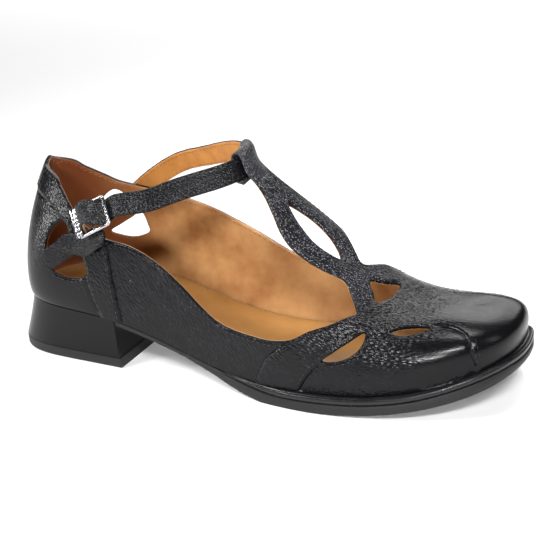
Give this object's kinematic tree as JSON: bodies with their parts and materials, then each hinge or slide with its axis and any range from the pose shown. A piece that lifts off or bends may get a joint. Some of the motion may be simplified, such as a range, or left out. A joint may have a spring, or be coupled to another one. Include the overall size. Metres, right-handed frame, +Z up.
{
  "type": "t strap shoe",
  "caption": "Women's right T strap shoe with a low block heel, cut-out leather upper, buckled ankle strap and welted sole.",
  "frame": {"origin": "centre of the shoe's outline on the ground, under the sole and the heel", "axes": "+X from heel to toe, +Y to the medial side (inner side of the foot), +Z up"},
  "size_m": [0.2506, 0.0812, 0.1047],
  "materials": {
    "black_leather": "glossy grained black leather",
    "sole_rubber": "matte black rubber",
    "tan_leather": "smooth tan lining leather",
    "buckle_metal": "bright nickel plate"
  },
  "bodies": {
    "root": {"outsole": "sole_rubber", "welt": "black_leather", "heel": "black_leather", "top_lift": "sole_rubber", "insole": "tan_leather", "upper": "black_leather", "ankle_strap": "black_leather", "strap_loop": "black_leather", "buckle_tab": "black_leather", "buckle_frame": "buckle_metal", "buckle_bar": "buckle_metal"}
  },
  "joints": []
}
